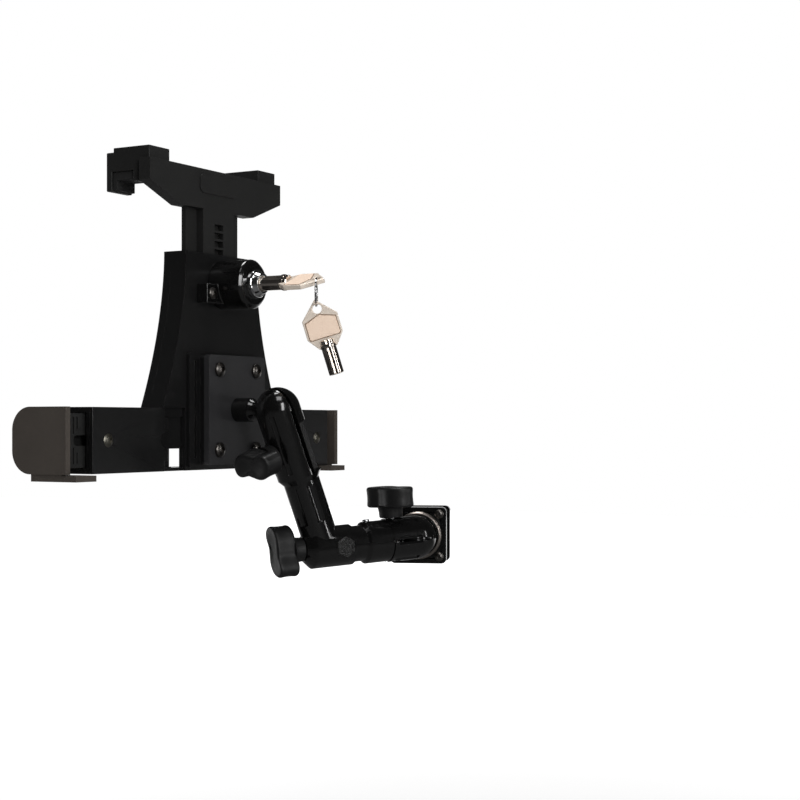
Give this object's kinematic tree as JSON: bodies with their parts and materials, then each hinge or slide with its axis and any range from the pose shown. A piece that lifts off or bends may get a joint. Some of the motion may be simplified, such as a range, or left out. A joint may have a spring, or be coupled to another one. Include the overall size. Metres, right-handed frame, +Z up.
{
  "type": "headrest tablet mount",
  "caption": "Locking tablet holder with sliding hooks on a jointed arm with wing knobs, clamped to a headrest post.",
  "frame": {"origin": "on the axis of the headrest post at half the height of the clamp", "axes": "+Z up along the post; +Y from the back of the holder toward the tablet's screen; X along the tablet's width"},
  "size_m": [0.2186, 0.1093, 0.2006],
  "materials": {
    "black_satin": "satin moulded black plastic",
    "black_matte": "matte moulded black plastic",
    "hook_black": "matte moulded black plastic",
    "rubber": "soft black rubber",
    "black_coated_steel": "black powder coat",
    "black_screws": "black oxide screws",
    "satin_steel": "satin turned steel",
    "zinc_steel": "bright zinc",
    "chrome": "polished chrome",
    "nickel": "nickel plate"
  },
  "bodies": {
    "post_clamp": {"clamp_front_plate": "black_coated_steel", "clamp_rear_plate": "black_coated_steel", "front_liner": "rubber", "rear_liner": "rubber", "clamp_screws": "black_screws", "clamp_nuts": "black_screws", "ball_base": "black_satin", "base_rim": "satin_steel"},
    "clamp_ball": {"clamp_ball_stud": "black_satin"},
    "forearm": {"forearm_barrel": "black_satin", "forearm_jaw": "black_satin", "forearm_nut": "zinc_steel", "forearm_screws": "zinc_steel", "elbow_nut": "zinc_steel"},
    "clamp_knob": {"clamp_knob_grip": "black_matte", "clamp_knob_bolt": "zinc_steel"},
    "upper_arm": {"upper_arm_shaft": "black_satin", "upper_arm_jaw": "black_satin", "upper_arm_nut": "zinc_steel", "elbow_inset": "black_matte"},
    "elbow_knob": {"elbow_knob_grip": "black_matte", "elbow_knob_bolt": "zinc_steel"},
    "arm_knob": {"arm_knob_grip": "black_matte", "arm_knob_bolt": "zinc_steel"},
    "holder_ball": {"holder_ball_stud": "black_satin"},
    "holder": {"adapter_plate": "black_coated_steel", "adapter_screws": "black_screws", "adapter_block": "black_satin", "spine_cover": "black_satin", "spine_tray": "black_satin", "case_screws": "black_screws", "crossbar_body": "black_satin", "left_bar_cover": "black_satin", "right_bar_cover": "black_satin", "slider_bolts": "zinc_steel", "back_pads": "rubber", "lock_housing": "black_satin", "lock_screw": "black_screws"},
    "sliding_bracket": {"t_bracket": "black_matte", "left_top_hook": "black_matte", "right_top_hook": "black_matte", "top_hook_pads": "rubber"},
    "left_support": {"left_slider": "black_matte", "left_hook": "hook_black", "left_hook_pads": "rubber"},
    "right_support": {"right_slider": "black_matte", "right_hook": "hook_black", "right_hook_pads": "rubber"},
    "lock_cylinder": {"lock_plug": "chrome", "lock_key": "nickel"},
    "lock_bolt": {"lock_pawl": "zinc_steel"},
    "ring_body": {"key_ring": "chrome"},
    "spare_key_body": {"spare_key": "nickel"}
  },
  "joints": [
    {"name": "clamp_ball_spin", "type": "hinge", "parent": "post_clamp", "child": "clamp_ball", "pos_m": [-0.02318, -0.00937, 0], "axis": [-0.9272, -0.3746, 0], "range_deg": [-90, 90]},
    {"name": "forearm_swing", "type": "hinge", "parent": "clamp_ball", "child": "forearm", "pos_m": [-0.02318, -0.00937, 0], "axis": [0, 0, 1], "range_deg": [-25, 60]},
    {"name": "clamp_knob_turn", "type": "hinge", "parent": "forearm", "child": "clamp_knob", "pos_m": [-0.03376, -0.00275, -0.00076], "axis": [-0.0518, 0.0324, 0.9981], "continuous": true},
    {"name": "elbow_swivel", "type": "hinge", "parent": "forearm", "child": "upper_arm", "pos_m": [-0.06576, 0.01724, -0.00307], "axis": [-0.8465, 0.5289, -0.061], "range_deg": [-90, 90]},
    {"name": "elbow_knob_turn", "type": "hinge", "parent": "forearm", "child": "elbow_knob", "pos_m": [-0.06576, 0.01724, -0.00307], "axis": [-0.8465, 0.5289, -0.061], "continuous": true},
    {"name": "arm_knob_turn", "type": "hinge", "parent": "upper_arm", "child": "arm_knob", "pos_m": [-0.08132, 0.02566, 0.04466], "axis": [-0.9017, 0.2658, -0.3409], "continuous": true},
    {"name": "holder_tilt", "type": "hinge", "parent": "upper_arm", "child": "holder_ball", "pos_m": [-0.08728, 0.02889, 0.06294], "axis": [1, 0, 0], "range_deg": [-10, 40]},
    {"name": "holder_spin", "type": "hinge", "parent": "holder_ball", "child": "holder", "pos_m": [-0.08728, 0.02889, 0.06294], "axis": [0, 1, 0], "range_deg": [-90, 90]},
    {"name": "bracket_slide", "type": "slide", "parent": "holder", "child": "sliding_bracket", "axis": [0, 0, 1], "range_m": [-0.016, 0.024]},
    {"name": "left_support_slide", "type": "slide", "parent": "holder", "child": "left_support", "axis": [-1, 0, 0], "range_m": [-0.015, 0.015]},
    {"name": "right_support_slide", "type": "slide", "parent": "holder", "child": "right_support", "axis": [1, 0, 0], "range_m": [-0.005, 0.025]},
    {"name": "lock_turn", "type": "hinge", "parent": "holder", "child": "lock_cylinder", "pos_m": [-0.08878, 0.05219, 0.12294], "axis": [0, 1, 0], "range_deg": [0, 90]},
    {"name": "lock_bolt_slide", "type": "slide", "parent": "holder", "child": "lock_bolt", "axis": [0, 1, 0], "range_m": [0, 0.003]},
    {"name": "key_ring_swing", "type": "hinge", "parent": "lock_cylinder", "child": "ring_body", "pos_m": [-0.08878, 0.00619, 0.12294], "axis": [0.8686, 0.4955, 0], "range_deg": [-16, 16]},
    {"name": "spare_key_swing", "type": "hinge", "parent": "ring_body", "child": "spare_key_body", "pos_m": [-0.09165, 0.00455, 0.11084], "axis": [0.8686, 0.4955, 0], "range_deg": [-45, 45]}
  ],
  "couplings": [
    {"joint": "lock_bolt_slide", "follows": "lock_turn", "m_per_rad": 0.0019}
  ]
}
